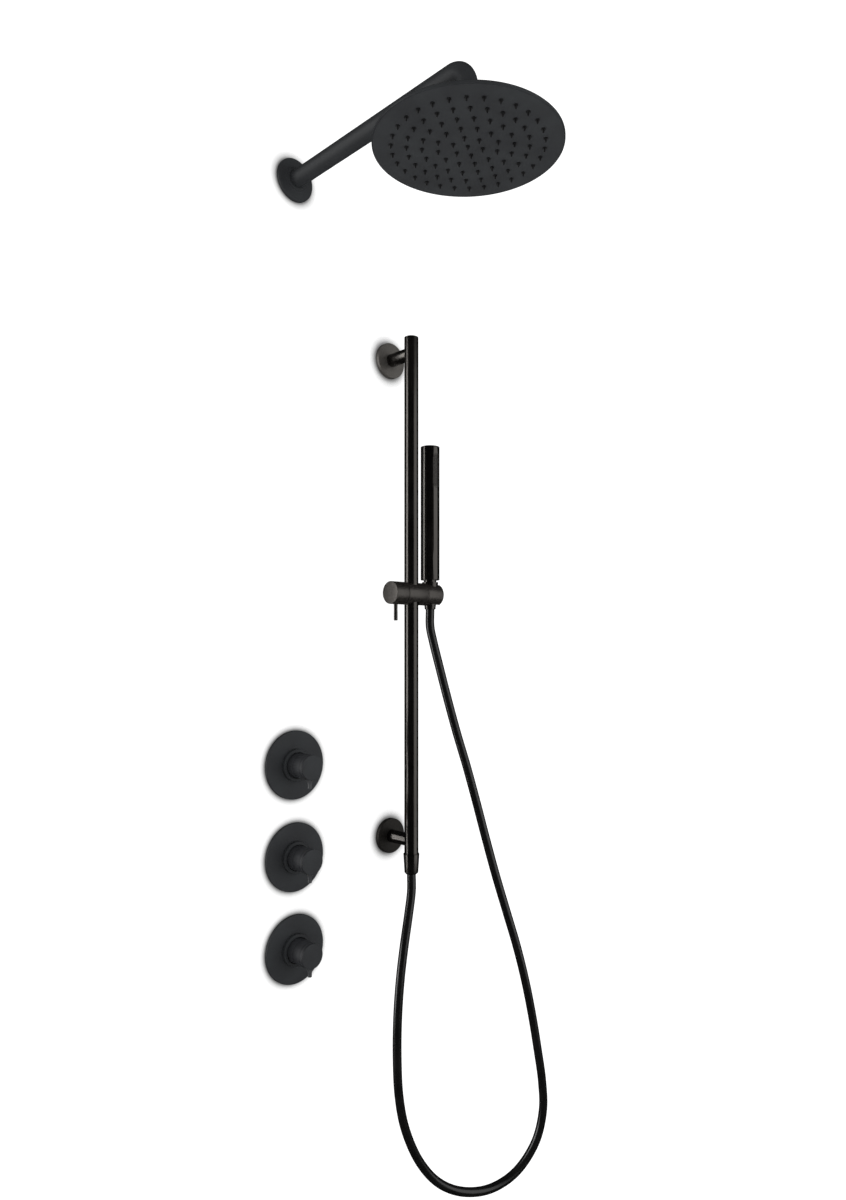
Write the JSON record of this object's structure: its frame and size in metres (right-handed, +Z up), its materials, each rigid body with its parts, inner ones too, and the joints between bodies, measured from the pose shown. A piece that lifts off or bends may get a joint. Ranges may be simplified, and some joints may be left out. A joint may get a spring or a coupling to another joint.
{
  "type": "concealed rainfall shower set",
  "caption": "Wall rain shower on an arm, with a slide rail, hand shower, hose, round wall valves and their pipework in the wall.",
  "frame": {"origin": "where the axis of the rail's lower bracket meets the finished wall", "axes": "+Z up along the rail, +Y into the wall, +X to the right as one faces the wall"},
  "size_m": [0.5292, 0.5305, 1.594],
  "materials": {
    "matt_black_coat": "fine matt powder coat",
    "satin_black_coat": "satin black coat",
    "silicone": "soft matt silicone",
    "rubber_seal": "matt",
    "black_hose": "smooth satin PVC",
    "copper_pipe": "drawn copper",
    "raw_brass": "turned brass",
    "bright_steel": "stainless steel",
    "pale_nylon": "moulded nylon"
  },
  "bodies": {
    "wall_parts": {"swivel_ball": "matt_black_coat", "arm_end": "matt_black_coat", "shower_arm": "matt_black_coat", "arm_nipple": "raw_brass", "arm_flange": "matt_black_coat", "arm_elbow": "raw_brass", "rail_tube": "satin_black_coat", "rail_cap": "satin_black_coat", "upper_post": "satin_black_coat", "upper_flange": "satin_black_coat", "wall_boss": "bright_steel", "wall_screws": "bright_steel", "post_grub_screw": "bright_steel", "lower_post": "satin_black_coat", "lower_flange": "satin_black_coat", "rail_outlet": "satin_black_coat", "outlet_elbow": "raw_brass", "hose": "black_hose", "lower_nut": "satin_black_coat", "lower_washer": "rubber_seal", "head_plate": "matt_black_coat", "hand_plate": "matt_black_coat", "mixer_plate": "matt_black_coat", "valve_collars": "matt_black_coat", "head_cartridge": "pale_nylon", "hand_cartridge": "pale_nylon", "mixer_cartridge": "pale_nylon", "bonnet_nuts": "raw_brass", "manifold": "raw_brass", "fixing_bars": "bright_steel", "riser_pipe": "copper_pipe", "branch_pipe": "copper_pipe"},
    "swivel": {"swivel_liner": "pale_nylon"},
    "head": {"swivel_nut": "matt_black_coat", "head_shell": "matt_black_coat", "spray_plate": "matt_black_coat", "spray_nozzles": "silicone"},
    "bush": {"rail_bush": "pale_nylon"},
    "slider": {"slider_body": "satin_black_coat", "brake_pad": "pale_nylon"},
    "clamp": {"clamp_knob": "satin_black_coat", "clamp_lever": "satin_black_coat", "clamp_screw": "bright_steel"},
    "cradle": {"cradle": "satin_black_coat", "pivot_stud": "bright_steel"},
    "cone": {"hose_cone": "satin_black_coat", "cone_washer": "rubber_seal"},
    "handset": {"hand_body": "satin_black_coat", "hand_cap": "satin_black_coat", "hand_inlet": "satin_black_coat", "spray_strip": "silicone"},
    "head_control": {"head_handle": "matt_black_coat", "head_lever": "matt_black_coat", "head_spindle": "raw_brass"},
    "hand_control": {"hand_handle": "matt_black_coat", "hand_lever": "matt_black_coat", "hand_spindle": "raw_brass"},
    "mixer_control": {"mixer_handle": "matt_black_coat", "mixer_lever": "matt_black_coat", "mixer_spindle": "raw_brass"}
  },
  "joints": [
    {"name": "head_tilt_front", "type": "hinge", "parent": "wall_parts", "child": "swivel", "pos_m": [-0.185, -0.346, 0.9165], "axis": [1, 0, 0], "range_deg": [-12, 12]},
    {"name": "head_tilt_side", "type": "hinge", "parent": "swivel", "child": "head", "pos_m": [-0.185, -0.346, 0.9165], "axis": [0, 1, 0], "range_deg": [-12, 12]},
    {"name": "slider_slide", "type": "slide", "parent": "wall_parts", "child": "bush", "axis": [0, 0, 1], "range_m": [-0.32, 0.345], "deforming": ["hose"]},
    {"name": "slider_swivel", "type": "hinge", "parent": "bush", "child": "slider", "pos_m": [0, -0.053, 0.385], "axis": [0, 0, 1], "range_deg": [-60, 35]},
    {"name": "clamp_turn", "type": "hinge", "parent": "slider", "child": "clamp", "pos_m": [-0.033, -0.053, 0.385], "axis": [-1, 0, 0], "range_deg": [0, 90]},
    {"name": "cradle_tilt", "type": "hinge", "parent": "slider", "child": "cradle", "pos_m": [0.02, -0.053, 0.385], "axis": [1, 0, 0], "range_deg": [-5, 50]},
    {"name": "handset_lift", "type": "slide", "parent": "cradle", "child": "cone", "axis": [0, 0, 1], "range_m": [0, 0.045]},
    {"name": "handset_spin", "type": "hinge", "parent": "cone", "child": "handset", "pos_m": [0.041, -0.053, 0.42], "axis": [0, 0, 1], "continuous": true},
    {"name": "head_control_turn", "type": "hinge", "parent": "wall_parts", "child": "head_control", "pos_m": [-0.185, -0.02, 0.13], "axis": [0, -1, 0], "range_deg": [0, 90]},
    {"name": "hand_control_turn", "type": "hinge", "parent": "wall_parts", "child": "hand_control", "pos_m": [-0.185, -0.02, -0.004], "axis": [0, -1, 0], "range_deg": [0, 90]},
    {"name": "mixer_control_turn", "type": "hinge", "parent": "wall_parts", "child": "mixer_control", "pos_m": [-0.185, -0.02, -0.138], "axis": [0, -1, 0], "range_deg": [-135, 135]}
  ]
}
